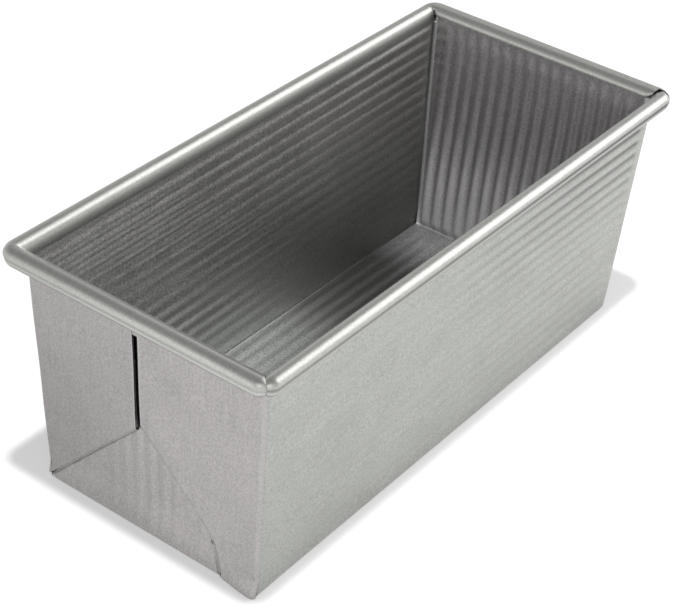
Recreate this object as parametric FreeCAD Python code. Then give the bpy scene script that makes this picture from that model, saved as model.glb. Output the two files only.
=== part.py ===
import FreeCAD, Part
import math
import os

# Pullman loaf pan: one ribbed steel sheet folded into a tub, with envelope folded
# corners on the outside of the end walls and a rim rolled over a steel wire.
# Millimetres. The origin is on the table under the middle of the base, X runs along
# the pan from its front end to its rear end, Y from its right side to its left, Z up.

# Sheet
sheet_thickness = 0.8
rib_pitch = 5.9
rib_rise = 0.5
rib_margin = 0.4

# Tub: clear inside sizes between the ribs at the floor, and the lean of every wall
inside_length = 228.6
inside_width = 96.4
wall_draft_degrees = 1.75
floor_bend_radius = 1.5

# Corner folds: slack between touching leaves, and the open seam inside each corner
leaf_gap = 0.05
corner_seam = 0.5

# Rim: the wire, the sheet rolled over it and the way the wall flares out to meet it
wire_height = 100.8
wire_diameter = 4.8
wire_clearance = 0.1
side_rim_gap = 0.9
end_rim_gap = 2.4
rim_corner_inside = 0.4
rim_seam = 0.4
rim_band = 6.3
flare_turn_degrees = 50.0
roll_tail_degrees = -150.0
rim_corner_step_degrees = 30.0

# End flaps: the slot left between them, the bridge that closes its top, and how much of
# the room beside the flare of the end wall the leaves reach up into
slot_width = 2.6
slot_offset = 3.6
slot_bridge = 3.1
bridge_seam = 0.15
leaf_tuck_share = 0.9
corner_top_share = 0.8

# The long flap's diagonal is folded a little inside its corner
long_fold_inset = 2.1

# The front long flap is crushed at its foot, where its edge runs steeply to the floor
crushed_foot_run = 14.5
crushed_foot_inset = 20.0

# Overrun of every cutting shape
overrun = 5.0

# Derived sizes of the sheet
half_sheet = sheet_thickness / 2
rib_reach = half_sheet + rib_rise

# A rib is pressed inwards: a crest between two half valleys, all arcs of one radius
rib_quarter = rib_pitch / 4
rib_radius = (rib_quarter ** 2 + (rib_rise / 2) ** 2) / rib_rise
valley_angle = math.asin(rib_quarter / rib_radius) / 2
valley_run = rib_radius * math.sin(valley_angle)
valley_rise = rib_radius * (1 - math.cos(valley_angle))

# The middle of the plain sheet is followed everywhere: these are its levels at the floor,
# with the walls taken down to the floor as if there were no bend
floor_level = half_sheet
end_foot = inside_length / 2 + rib_reach
side_foot = inside_width / 2 + rib_reach
draft = math.radians(wall_draft_degrees)
draft_sine = math.sin(draft)
draft_cosine = math.cos(draft)
draft_slope = math.tan(draft)

# Floor bend: it turns from the floor up to the leaning wall
bend_degrees = 90.0 - wall_draft_degrees
bend_setback = floor_bend_radius * math.tan(math.radians(bend_degrees) / 2)

# Leaves, as distances outwards from the middle of the end wall
inner_leaf_out = sheet_thickness + leaf_gap
outer_leaf_out = inner_leaf_out + sheet_thickness + leaf_gap
end_stack_out = outer_leaf_out + half_sheet

# The end wall's upright edge turns back on itself into the inner leaf
edge_fold_radius = inner_leaf_out / 2
edge_fold_reach = edge_fold_radius + half_sheet
edge_fold_foot = side_foot - half_sheet - corner_seam - edge_fold_reach

# The side wall bends round that folded edge into the outer leaf
corner_bend_radius = half_sheet + corner_seam + edge_fold_reach
corner_bend_out = outer_leaf_out - corner_bend_radius
corner_bend_foot = side_foot - corner_bend_radius

# The two leaves turn into each other along the diagonal
diagonal_fold_radius = (outer_leaf_out - inner_leaf_out) / 2
diagonal_fold_out = (outer_leaf_out + inner_leaf_out) / 2

# Rim roll
wire_radius = wire_diameter / 2
roll_bore = wire_radius + wire_clearance
roll_radius = roll_bore + sheet_thickness
roll_middle = roll_bore + half_sheet
rim_corner_radius = roll_radius + rim_corner_inside
rim_corner_reach = rim_corner_radius + roll_radius
wall_rise = wire_height - floor_level
side_wire_out = half_sheet + side_rim_gap + roll_radius
end_wire_out = end_stack_out + end_rim_gap + roll_radius
side_wire_reach = side_foot + wall_rise * draft_slope + side_wire_out
end_wire_reach = end_foot + wall_rise * draft_slope + end_wire_out
flare_turn = math.radians(flare_turn_degrees)
roll_start_degrees = 180.0 - flare_turn_degrees - wall_draft_degrees

origin = FreeCAD.Vector(0, 0, 0)
along_x = FreeCAD.Vector(1, 0, 0)
along_y = FreeCAD.Vector(0, 1, 0)
along_z = FreeCAD.Vector(0, 0, 1)


# Small shape helpers
def line(start, end):
    return Part.LineSegment(start, end).toShape()


def arc(start, middle, end):
    return Part.Arc(start, middle, end).toShape()


def face_of(edges):
    return Part.Face(Part.Wire(Part.__sortEdges__(edges)))


def polygon(points):
    return Part.Face(Part.makePolygon(points + points[:1]))


def joined(first, others):
    return first.fuse(others).removeSplitter()


def turned_round(shape):
    turned = shape.copy()
    turned.rotate(origin, along_z, 180)
    return turned


def ring_face(centre, inner, outer, start_degrees, end_degrees, place):
    """Sector of a ring between two radii; place puts its flat points into space."""
    def at(radius, degrees):
        angle = math.radians(degrees)
        return place(centre[0] + radius * math.cos(angle), centre[1] + radius * math.sin(angle))
    middle_degrees = (start_degrees + end_degrees) / 2
    rims = [arc(at(radius, start_degrees), at(radius, middle_degrees), at(radius, end_degrees))
            for radius in (inner, outer)]
    caps = [line(at(inner, degrees), at(outer, degrees)) for degrees in (start_degrees, end_degrees)]
    return face_of(rims + caps)


def ribbed_face(low, high, wave_low, rib_count, inward, place):
    """Cut through the ribbed sheet from low to high, with plain margins at both ends."""
    wave_high = wave_low + rib_count * rib_pitch

    def skin(level):
        def at(along, rise):
            return place(along, level + inward * rise)
        edges = [line(at(low, 0), at(wave_low, 0)), line(at(wave_high, 0), at(high, 0))]
        for index in range(rib_count):
            start = wave_low + index * rib_pitch
            end = start + rib_pitch
            up = at(start + rib_quarter, rib_rise / 2)
            down = at(end - rib_quarter, rib_rise / 2)
            edges.append(arc(at(start, 0), at(start + valley_run, valley_rise), up))
            edges.append(arc(up, at(start + 2 * rib_quarter, rib_rise), down))
            edges.append(arc(down, at(end - valley_run, valley_rise), at(end, 0)))
        return edges
    caps = [line(place(end, half_sheet), place(end, -half_sheet)) for end in (low, high)]
    return face_of(skin(half_sheet) + skin(-half_sheet) + caps)


# Ribs that run the length of the base and up the end walls: an even number of them,
# so that a valley lies in the middle
base_half_width = side_foot - bend_setback
base_half_length = end_foot - bend_setback
base_rib_count = 2 * int((base_half_width - rib_margin) / rib_pitch)
base_wave_low = -base_rib_count * rib_pitch / 2


# A wall stands in its own frame: out from the middle of the sheet, and up along the wall
def side_point(out, up):
    """Place a point of the left wall's section: y and z from out and up."""
    return (side_foot + out * draft_cosine + up * draft_sine,
            floor_level - out * draft_sine + up * draft_cosine)


def on_end(shape):
    """Lean a shape built on an upright end wall and set it on the rear end of the floor."""
    leaned = shape.copy()
    leaned.rotate(origin, along_y, wall_draft_degrees)
    leaned.translate(FreeCAD.Vector(end_foot, 0, floor_level))
    return leaned


def bend_face(place):
    """Section of the floor bend, from the foot of a wall down to the floor."""
    return ring_face((-floor_bend_radius, bend_setback), floor_bend_radius - half_sheet,
                     floor_bend_radius + half_sheet, 0.0, -bend_degrees, place)


def wire_up(wire_out):
    """Height of the wire's middle along a wall that it stands out from."""
    return wall_rise / draft_cosine + wire_out * draft_sine


def flare_radius(wire_out):
    """Radius of the flare that leaves the wall smoothly and meets the roll smoothly."""
    distance = wire_out * draft_cosine
    return (distance - roll_middle * math.cos(flare_turn)) / (1 - math.cos(flare_turn))


def flare_start(wire_out):
    """Height along the wall where the flare begins."""
    return wire_up(wire_out) - (flare_radius(wire_out) - roll_middle) * math.sin(flare_turn)


def flare_face(wire_out, place):
    """Section of the flare, from the top of the wall to the start of the roll."""
    radius = flare_radius(wire_out)
    return ring_face((radius, flare_start(wire_out)), radius - half_sheet, radius + half_sheet,
                     180.0, 180.0 - flare_turn_degrees, place)


side_top = flare_start(side_wire_out)
end_top = flare_start(end_wire_out)

# The leaves end just before the flare closes the gap behind them
flare_face_radius = flare_radius(end_wire_out) - half_sheet
leaf_tuck = leaf_tuck_share * math.sqrt(leaf_gap * (2 * flare_face_radius - leaf_gap))
leaf_top = end_top + leaf_tuck
slot_top = leaf_top - slot_bridge

# The corner bends reach higher than the leaves, most of the way to the side wall's flare
corner_top = leaf_top + corner_top_share * (side_top - leaf_top)


def base_panel():
    section = ribbed_face(-base_half_width, base_half_width, base_wave_low, base_rib_count, 1,
                          lambda y, rise: FreeCAD.Vector(-base_half_length, y, floor_level + rise))
    return section.extrude(FreeCAD.Vector(2 * base_half_length, 0, 0)).removeSplitter()


def left_side_panel():
    """Floor bend and ribbed wall, cut at both ends where the corner bends begin."""
    reach = end_wire_reach

    def place(out, up):
        y, z = side_point(out, up)
        return FreeCAD.Vector(-reach, y, z)
    wave_high = side_top - rim_band
    rib_count = int((wave_high - bend_setback - rib_margin) / rib_pitch)
    wall = ribbed_face(bend_setback, side_top, wave_high - rib_count * rib_pitch, rib_count, -1,
                       lambda up, rise: place(rise, up))
    run = FreeCAD.Vector(2 * reach, 0, 0)
    sheet = joined(wall.extrude(run), [bend_face(place).extrude(run)])
    foot = end_foot + corner_bend_out / draft_cosine
    low = -overrun
    high = wire_height + overrun
    low_half = foot + (low - floor_level) * draft_slope
    high_half = foot + (high - floor_level) * draft_slope
    keep = polygon([FreeCAD.Vector(-low_half, 0, low), FreeCAD.Vector(low_half, 0, low),
                    FreeCAD.Vector(high_half, 0, high), FreeCAD.Vector(-high_half, 0, high)])
    return sheet.common(keep.extrude(FreeCAD.Vector(0, side_wire_reach, 0)))


def end_panel():
    """Plain floor bend and ribbed end wall, cut at both sides where its edges fold back."""
    half_width = edge_fold_foot + end_top * draft_sine + overrun
    section = ribbed_face(-half_width, half_width, base_wave_low, base_rib_count, 1,
                          lambda y, rise: FreeCAD.Vector(-rise, y, bend_setback))
    wall = section.extrude(FreeCAD.Vector(0, 0, end_top - bend_setback))
    bend = bend_face(lambda out, up: FreeCAD.Vector(out, -half_width, up))
    bend = bend.extrude(FreeCAD.Vector(0, 2 * half_width, 0))
    low = -overrun
    high = end_top + overrun
    low_half = edge_fold_foot + low * draft_sine
    high_half = edge_fold_foot + high * draft_sine
    start = -floor_bend_radius - overrun
    keep = polygon([FreeCAD.Vector(start, -low_half, low), FreeCAD.Vector(start, low_half, low),
                    FreeCAD.Vector(start, high_half, high), FreeCAD.Vector(start, -high_half, high)])
    keep = keep.extrude(FreeCAD.Vector(2 * (floor_bend_radius + overrun), 0, 0))
    return on_end(joined(wall, [bend]).common(keep))


# Leaves. Each is drawn on the upright end wall, with its corner on the positive side
# for the long flap and on the negative side for the short one.
def lower_edge(way, crushed):
    """Points of the folded lower edge, from the slot down to the corner."""
    slot_edge = slot_width / 2 - way * slot_offset
    diagonal_foot = side_foot - (long_fold_inset if way > 0 else 0)
    points = [(slot_edge, diagonal_foot - slot_edge)]
    if crushed:
        knee = side_foot - crushed_foot_inset
        points.append((knee, diagonal_foot - knee))
        points.append((side_foot - crushed_foot_run, 0))
    else:
        points.append((diagonal_foot, 0))
    return points


def corner_meet(edge, corner_foot):
    """Height where the folded lower edge meets the corner, or zero where it stops short of it."""
    return max(0.0, (edge[-1][0] - corner_foot) / (1 + draft_sine))


def leaf_plate(way, crushed, out, corner_foot, bridged):
    """Flat leaf between its folded lower edge, the slot and the corner."""
    edge = lower_edge(way, crushed)
    slot_edge = edge[0][0]
    meet = corner_meet(edge, corner_foot)
    corner = (corner_foot + meet * draft_sine, meet)
    outline = edge[:-1] + [corner] if meet > 0 else edge + [corner]
    outline.append((corner_foot + leaf_top * draft_sine, leaf_top))
    if bridged:
        tongue = slot_edge - slot_width + bridge_seam
        outline.append((tongue, leaf_top))
        outline.append((tongue, slot_top))
        outline.append((slot_edge, slot_top))
    else:
        outline.append((slot_edge, leaf_top))
    plate = polygon([FreeCAD.Vector(out - half_sheet, way * across, up) for across, up in outline])
    return plate.extrude(FreeCAD.Vector(sheet_thickness, 0, 0))


def diagonal_fold(way, crushed):
    """Half round turns that join the two leaves along their lower edge, mitred where they meet."""
    points = [FreeCAD.Vector(0, way * across, up) for across, up in lower_edge(way, crushed)]
    runs = [(end - start).normalize() for start, end in zip(points, points[1:])]
    aways = [run.cross(FreeCAD.Vector(way, 0, 0)) for run in runs]
    inner_mitres = [(first + second).normalize() for first, second in zip(aways, aways[1:])]
    mitres = [FreeCAD.Vector(0, 0, -1)] + inner_mitres + [FreeCAD.Vector(0, -way, 0)]
    folds = []
    for index, run in enumerate(runs):
        start, end = points[index], points[index + 1]
        away = aways[index]
        begin = start - run * overrun + FreeCAD.Vector(diagonal_fold_out, 0, 0)
        turn = ring_face((0, 0), diagonal_fold_radius - half_sheet, diagonal_fold_radius + half_sheet,
                         0.0, 180.0, lambda out, down: begin + FreeCAD.Vector(out, 0, 0) + away * down)
        fold = turn.extrude(run * (start.distanceToPoint(end) + 2 * overrun))
        near, far = mitres[index] * overrun, mitres[index + 1] * overrun
        keep = polygon([start + near, end + far, end - far, start - near])
        folds.append(fold.common(keep.extrude(FreeCAD.Vector(end_stack_out, 0, 0))))
    return folds


def upright_bend(centre, radius, start_degrees, end_degrees, low, high, way):
    """Part of a ring square to the leaning corner, carried up along it from low to high."""
    centre_out, centre_foot = centre
    lean = FreeCAD.Vector(0, way * draft_sine, 1)
    across = FreeCAD.Vector(0, way, -draft_sine).normalize()
    start = FreeCAD.Vector(centre_out, way * centre_foot, 0) + lean * low
    section = ring_face((0, 0), radius - half_sheet, radius + half_sheet, start_degrees, end_degrees,
                        lambda out, aside: start + FreeCAD.Vector(out, 0, 0) + across * aside)
    return section.extrude(lean * (high - low))


def inner_leaf(way, crushed):
    plate = leaf_plate(way, crushed, inner_leaf_out, edge_fold_foot, False)
    low = max(bend_setback, corner_meet(lower_edge(way, crushed), edge_fold_foot))
    edge = upright_bend((edge_fold_radius, edge_fold_foot), edge_fold_radius, 0.0, 180.0, low, end_top, way)
    return on_end(joined(plate, [edge]))


def outer_leaf(way, crushed):
    plate = leaf_plate(way, crushed, outer_leaf_out, corner_bend_foot, way > 0)
    corner = upright_bend((corner_bend_out, corner_bend_foot), corner_bend_radius, 0.0, 90.0, 0.0,
                          corner_top, way)
    return on_end(joined(plate, [corner] + diagonal_fold(way, crushed)))


def corner_wedge(centre, way, start_degrees, end_degrees):
    """Upright wedge about the middle of a rim corner, its angles counted from straight across the rim."""
    def at(degrees):
        angle = math.radians(degrees)
        return centre + FreeCAD.Vector(way * math.sin(angle), math.cos(angle), 0) * (3 * rim_corner_reach)
    wedge = polygon([centre, at(start_degrees), at(end_degrees)])
    return wedge.extrude(FreeCAD.Vector(0, 0, wire_height + roll_radius + overrun))


def rim_run(section, reach, cross_reach):
    """Carry a section along the left rim and half way round both of its corners.

    The section stands across the middle of the rim. A corner turns in straight steps,
    the straight run itself turned about the middle of the corner, and the run ends on
    the mitre half way round.
    """
    straight = cross_reach - rim_corner_radius
    first = rim_corner_step_degrees / 2
    pieces = []
    for way in (-1, 1):
        centre = FreeCAD.Vector(way * straight, reach - rim_corner_radius, 0)
        half = section.extrude(FreeCAD.Vector(way * (straight + rim_corner_reach), 0, 0))
        step = half.copy()
        step.rotate(centre, along_z, -way * rim_corner_step_degrees)
        pieces.append(half.cut(corner_wedge(centre, way, first, 90.0)))
        pieces.append(step.common(corner_wedge(centre, way, first, 45.0)))
    return joined(pieces[0], pieces[1:])


def rim_roll(wire_out, reach, cross_reach, section_point):
    """Flare and roll along the left side; its ends are mitred round the rim's corners.

    The flare keeps to the wall's frame and the roll to the upright one; section_point
    turns a point of the wall's frame into its y and z.
    """
    straight = cross_reach - rim_corner_radius
    corner_line = reach - rim_corner_radius

    def leaning(out, up):
        y, z = section_point(out, up)
        return FreeCAD.Vector(-straight, y, z)
    section = ring_face((reach, wire_height), roll_bore, roll_radius, roll_start_degrees,
                        roll_tail_degrees, lambda y, z: FreeCAD.Vector(0, y, z))
    flare = flare_face(wire_out, leaning).extrude(FreeCAD.Vector(2 * straight, 0, 0))
    whole = joined(rim_run(section, reach, cross_reach), [flare])
    near = corner_line - wire_out - overrun
    far = reach + roll_radius + overrun
    seam = rim_seam / 2 / math.sin(math.radians(45))
    near_half = straight + near - corner_line - seam
    far_half = straight + far - corner_line - seam
    keep = polygon([FreeCAD.Vector(-near_half, near, 0), FreeCAD.Vector(near_half, near, 0),
                    FreeCAD.Vector(far_half, far, 0), FreeCAD.Vector(-far_half, far, 0)])
    return whole.common(keep.extrude(FreeCAD.Vector(0, 0, wire_height + roll_radius + overrun)))


def end_section_point(out, up):
    """Same as side_point, for the end wall: its distance along the pan and its height."""
    return (end_foot + out * draft_cosine + up * draft_sine,
            floor_level - out * draft_sine + up * draft_cosine)


def left_rim_roll():
    return rim_roll(side_wire_out, side_wire_reach, end_wire_reach, side_point)


def rear_rim_roll():
    roll = rim_roll(end_wire_out, end_wire_reach, side_wire_reach, end_section_point)
    roll.rotate(origin, along_z, -90)
    return roll


def rim_wire():
    """Closed loop of round wire inside the rolls."""
    runs = []
    for reach, cross_reach, turn in ((side_wire_reach, end_wire_reach, 0),
                                     (end_wire_reach, side_wire_reach, -90)):
        circle = Part.makeCircle(wire_radius, FreeCAD.Vector(0, reach, wire_height), along_x)
        run = rim_run(Part.Face(Part.Wire(circle)), reach, cross_reach)
        run.rotate(origin, along_z, turn)
        runs += [run, turned_round(run)]
    return joined(runs[0], runs[1:])


# Every node of the pan
def build_nodes():
    left_side = left_side_panel()
    rear_end = end_panel()
    left_roll = left_rim_roll()
    rear_roll = rear_rim_roll()
    nodes = {
        "base_panel": base_panel(),
        "left_side_panel": left_side,
        "right_side_panel": turned_round(left_side),
        "rear_end_panel": rear_end,
        "front_end_panel": turned_round(rear_end),
        "left_rim_roll": left_roll,
        "right_rim_roll": turned_round(left_roll),
        "rear_rim_roll": rear_roll,
        "front_rim_roll": turned_round(rear_roll),
        "rim_wire": rim_wire(),
    }
    for name, make in (("inner_leaf", inner_leaf), ("outer_leaf", outer_leaf)):
        nodes["rear_left_" + name] = make(1, False)
        nodes["rear_right_" + name] = make(-1, False)
        nodes["front_right_" + name] = turned_round(make(1, True))
        nodes["front_left_" + name] = turned_round(make(-1, False))
    return nodes


os.makedirs("parts", exist_ok=True)
for name, shape in build_nodes().items():
    if len(shape.Solids) != 1 or not shape.isValid():
        raise ValueError(name + " is not one valid solid: " + str(len(shape.Solids)))
    solid = shape.Solids[0]
    solid.exportStep("parts/" + name + ".step")
    box = solid.BoundBox
    print("%-24s %9.1f mm3  x %7.2f %7.2f  y %7.2f %7.2f  z %7.2f %7.2f" % (
        name, solid.Volume, box.XMin, box.XMax, box.YMin, box.YMax, box.ZMin, box.ZMax))
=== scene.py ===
# %% [markdown]
# This lesson dresses a pullman loaf pan: a tall bread pan folded from one ribbed sheet of coated steel.
# The imported model is loaded first as a fixed frame, and every piece made later rides on its one body.
# The imported model stays in the scene, and the pieces made later hide the nodes they stand for.

import bpy
import numpy as np
from mathutils import Matrix


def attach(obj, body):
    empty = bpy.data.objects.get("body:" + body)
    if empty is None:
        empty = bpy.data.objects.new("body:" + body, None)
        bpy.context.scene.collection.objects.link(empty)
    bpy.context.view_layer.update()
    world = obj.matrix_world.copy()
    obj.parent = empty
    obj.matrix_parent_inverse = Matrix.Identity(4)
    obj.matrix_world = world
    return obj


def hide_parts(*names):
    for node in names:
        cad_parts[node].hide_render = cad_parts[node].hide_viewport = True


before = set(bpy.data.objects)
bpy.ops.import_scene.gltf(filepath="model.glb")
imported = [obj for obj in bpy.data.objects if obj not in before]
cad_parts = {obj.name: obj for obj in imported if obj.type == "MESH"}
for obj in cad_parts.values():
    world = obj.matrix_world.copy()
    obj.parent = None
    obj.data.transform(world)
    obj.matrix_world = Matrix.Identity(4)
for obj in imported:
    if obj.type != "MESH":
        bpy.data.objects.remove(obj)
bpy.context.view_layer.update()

print("nodes in the frame:", len(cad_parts))

# %% [markdown]
# The camera comes next, because every later choice is judged through it.
# Its angles were found by fitting the pan's edges to the photograph, so they are written down as numbers.
# Three square directions, right, down and forward, are turned by the roll, and the lens follows from the
# focal length in pixels and the width of the picture.

# %% Camera at the photograph's angle
MM = 0.001
picture_width = 679
sensor_width = 36.0
camera_azimuth = np.radians(54.7978)
camera_elevation = np.radians(35.3390)
camera_roll = np.radians(-3.9325)
camera_distance = 774.414
aim_right = 2.986
aim_down = 31.737
focal_pixels = 1936.42
far_clip = 20

forward = np.array([
    np.cos(camera_elevation) * np.sin(camera_azimuth),
    np.cos(camera_elevation) * np.cos(camera_azimuth),
    -np.sin(camera_elevation),
])
level_right = np.cross(forward, [0, 0, 1])
level_right = level_right / np.linalg.norm(level_right)
level_down = np.cross(forward, level_right)
right = np.cos(camera_roll) * level_right + np.sin(camera_roll) * level_down
down = -np.sin(camera_roll) * level_right + np.cos(camera_roll) * level_down
camera_place = -(aim_right * right + aim_down * down + camera_distance * forward) * MM


def linked(name, data, axes=()):
    """A new object in the scene, with its three axes and its place where they are given."""
    thing = bpy.data.objects.new(name, data)
    bpy.context.collection.objects.link(thing)
    if axes:
        square = np.eye(4)
        square[:3] = np.stack(axes, axis=1)
        thing.matrix_world = Matrix(square.tolist())
    return thing


lens = bpy.data.cameras.new("photo_camera")
lens.sensor_fit = "HORIZONTAL"
lens.sensor_width = sensor_width
lens.lens = focal_pixels * sensor_width / picture_width
lens.clip_end = far_clip
bpy.context.scene.camera = linked("photo_camera", lens, (right, -down, -forward, camera_place))
print("camera at", camera_place.round(3), "lens", round(lens.lens, 2))

# %% [markdown]
# The pan's sizes are in millimetres and follow those of the solid model.
# The walls lean out by a small draft, the ribs are pressed inwards from the plain sheet, and the rim is
# rolled round a wire. A wall is measured from its foot: out is square to it, and up runs along it.

# %% Sizes of the pan
sheet_thickness = 0.8
half_sheet = sheet_thickness / 2
rib_pitch = 5.9
rib_rise = 0.5
rib_reach = half_sheet + rib_rise
inside_length = 228.6
inside_width = 96.4
side_draft = np.radians(2.3)
front_draft = np.radians(2.4)
rear_draft = np.radians(3.3)
floor_bend_radius = 0.9
floor_level = half_sheet
end_foot = inside_length / 2 + rib_reach
side_foot = inside_width / 2 + rib_reach
wire_height = 100.8
side_wire_reach = 56.77
end_wire_reach = 126.07
roll_middle = 2.85


def lean(foot, draft, out, up):
    """A point of a leaning wall: its distance from the middle is the foot plus out times the cosine and up
    times the sine of the draft, and its height is up times the cosine less out times the sine."""
    reach = foot + out * np.cos(draft) + up * np.sin(draft)
    height = floor_level - out * np.sin(draft) + up * np.cos(draft)
    return reach, height


def smooth_step(value, start, end):
    """Zero before the start, one past the end, and between them 3 t squared less 2 t cubed. The end may lie
    above or below the start."""
    share = np.clip((value - start) / (end - start), 0, 1)
    return share * share * (3 - 2 * share)


def between(pair, share):
    """The first of a pair where the share is zero, the second where it is one, and evenly between them."""
    return pair[0] + (pair[1] - pair[0]) * share


def table(columns, rows):
    """Named rows of values, with each value under the name of its column."""
    return {name: dict(zip(columns, row)) for name, row in rows.items()}


def bell(value, middle, width):
    """One at the middle, falling off as e to the minus square of the distance over the width."""
    return np.exp(-((value - middle) / width) ** 2)


def rib_wave(distance, low, count, pitch):
    """How far the ribs are pressed in: half the rise times one less the cosine, once for every pitch."""
    turn = np.clip((distance - low) / pitch, 0, count)
    return rib_rise / 2 * (1 - np.cos(2 * np.pi * turn))


def bend_setback(draft):
    """How far before the foot the bend from the base to a wall begins."""
    return floor_bend_radius * np.tan((np.pi / 2 - draft) / 2)


print("outside at the floor:", 2 * end_foot, "by", 2 * side_foot)

# %% [markdown]
# Every sheet piece is a middle surface, worked out on a grid, that gets the sheet's thickness.
# The two skins and the cut edge between them are written out, so that the inner skin, the cut edges and
# the places of painted shade and painted highlight can be marked for the finishes.

# %% Turn a middle surface into sheet metal
pan_middle = np.array([0, 0, wire_height / 2])
crease_angle = np.radians(35)


def grid_quads(ids):
    """The four corners of every cell of a grid of vertex numbers, in turning order."""
    corners = [ids[:-1, :-1], ids[1:, :-1], ids[1:, 1:], ids[:-1, 1:]]
    return np.stack(corners, axis=-1).reshape(-1, 4)


def edge_ring(ids):
    """The vertex numbers round the edge of a grid, in the turning order of its cells."""
    return np.concatenate([ids[:-1, 0], ids[-1, :-1], ids[:0:-1, -1], ids[0, :0:-1]])


def mesh_piece(name, points, quads, point_marks, face_marks, uv):
    """A mesh object from points in millimetres, faces of four corners, values on both, and a flat map."""
    mesh = bpy.data.meshes.new(name)
    mesh.vertices.add(len(points))
    mesh.vertices.foreach_set("co", (points * MM).astype(np.float32).ravel())
    mesh.loops.add(quads.size)
    mesh.loops.foreach_set("vertex_index", quads.astype(np.int32).ravel())
    mesh.polygons.add(len(quads))
    mesh.polygons.foreach_set("loop_start", np.arange(0, quads.size, quads.shape[1], dtype=np.int32))
    mesh.update(calc_edges=True)
    mesh.polygons.foreach_set("use_smooth", np.ones(len(quads), dtype=bool))
    mesh.set_sharp_from_angle(angle=crease_angle)
    for domain, marks in (("POINT", point_marks), ("FACE", face_marks)):
        for mark, values in marks.items():
            layer = mesh.attributes.new(mark, "FLOAT", domain)
            layer.data.foreach_set("value", values.astype(np.float32).ravel())
    flat = mesh.uv_layers.new(name="along_sheet")
    flat.data.foreach_set("uv", uv[quads.ravel()].astype(np.float32).ravel())
    return linked(name, mesh)


def run_length(grid, axis):
    """The length along one direction of a grid, added up from cell to cell."""
    steps = np.linalg.norm(np.diff(grid, axis=axis), axis=-1)
    start = np.zeros_like(np.take(steps, [0], axis=axis))
    return np.cumsum(np.concatenate([start, steps], axis=axis), axis=axis)


def sheet_piece(name, middle, outer_painted_shade=0.0, worn=0.0, inner_painted_shade=0.0, film_and_painted_light=1.0):
    """A sheet from its middle surface: the normal is the cross product of the two directions of the grid,
    and the skins lie half a thickness to each side. The outer skin comes first."""
    normal = np.cross(np.gradient(middle, axis=0), np.gradient(middle, axis=1))
    normal = normal / np.linalg.norm(normal, axis=-1, keepdims=True)
    marks = [np.broadcast_to(mark, middle.shape[:2]) for mark in (outer_painted_shade, worn, inner_painted_shade, film_and_painted_light)]
    if np.sum(normal[0] * (middle[0] - pan_middle)) < 0:
        return sheet_piece(name, middle[:, ::-1], *[mark[:, ::-1] for mark in marks])
    outer_painted_shade, worn, inner_painted_shade, film_and_painted_light = marks
    skins = np.stack([middle + normal * half_sheet, middle - normal * half_sheet])
    ids = np.arange(skins[..., 0].size).reshape(skins.shape[:3])
    ring = np.stack([edge_ring(ids[0]), edge_ring(ids[1])])
    after = np.roll(ring, -1, axis=1)
    edge = np.stack([after[0], ring[0], ring[1], after[1]], axis=-1)
    faces = [grid_quads(ids[0]), grid_quads(ids[1])[:, ::-1], edge]
    cut = np.concatenate([np.zeros(len(faces[0]) + len(faces[1])), np.ones(len(edge))])
    point_marks = {
        "inside": np.stack([np.zeros_like(film_and_painted_light), film_and_painted_light]),
        "soot": np.stack([outer_painted_shade, inner_painted_shade]),
        "worn": np.stack([worn, worn]),
    }
    flat = np.stack([run_length(middle, 0), run_length(middle, 1)], axis=-1) * MM
    uv = np.concatenate([flat.reshape(-1, 2), flat.reshape(-1, 2)])
    return mesh_piece(name, skins.reshape(-1, 3), np.concatenate(faces), point_marks, {"cut_edge": cut}, uv)


def settle(piece, slot, *nodes):
    """Rides the piece on the pan and lets it stand for nodes of the frame. The slot is not used."""
    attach(piece, "root")
    if nodes:
        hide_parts(*nodes)
    print(piece.name, "faces", len(piece.data.polygons))


# %% [markdown]
# The base is ribbed lengthwise. On the real pan a pair of rollers presses the ribs into the whole sheet
# before it is folded, and they are flatter here than on most of the walls. The height of the sheet is
# simply the rib wave of its place across the pan. A thicker baked film at both ends makes them paler, as
# painted light, and a painted shade darkens a stretch behind the middle.

# %% Ribbed base
rib_cells = 10
end_rib_count = 16
end_wave_low = -end_rib_count * rib_pitch / 2
base_rise_share = 0.55
base_cells = 60
rib_run_out = 4.0
front_kick = 1.9
rear_kick = 0.3
film_least = 0.1
front_painted_light = 1.3
rear_painted_light = 1.7
front_light_run = (0.0, 40.0)
rear_light_run = (75.0, 105.0)
base_painted_shade = 0.06
base_shade_middle = 52.0
base_shade_width = 28.0
base_front = -(end_foot + front_kick - bend_setback(front_draft))
base_rear = end_foot + rear_kick - bend_setback(rear_draft)
base_half_width = side_foot - bend_setback(side_draft)

base_across = np.linspace(-base_half_width, base_half_width, end_rib_count * rib_cells + 1)
base_along = np.linspace(base_front, base_rear, base_cells + 1)
along, across = np.meshgrid(base_along, base_across, indexing="ij")
base_fade = smooth_step(along - base_front, 0, rib_run_out) * smooth_step(base_rear - along, 0, rib_run_out)
base_ribs = rib_wave(across, end_wave_low, end_rib_count, rib_pitch) * base_rise_share * base_fade
# painted light: the film is thicker towards both ends, so the base is paler there
base_film_and_light = film_least + front_painted_light * (1 - smooth_step(along, *front_light_run))
base_film_and_light = base_film_and_light + rear_painted_light * smooth_step(along, *rear_light_run)
# painted shade: a darker stretch behind the middle
base_shade = base_painted_shade * bell(along, base_shade_middle, base_shade_width)
base_middle = np.stack([along, across, floor_level + base_ribs], axis=-1)
base = sheet_piece("ribbed_base", base_middle, inner_painted_shade=base_shade, film_and_painted_light=base_film_and_light)
settle(base, "sheet", "base_panel")

# %% [markdown]
# The rim decides how high the walls reach, so its section comes before them. The wall turns out with a
# fillet, runs on straight and goes round the wire. The long sides turn out only a little before the roll.
# At the ends the roll also takes in the folded flaps: the front wall slants out to it, and the rear wall
# turns out flat, so that its roll is a broad oblong.

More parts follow.
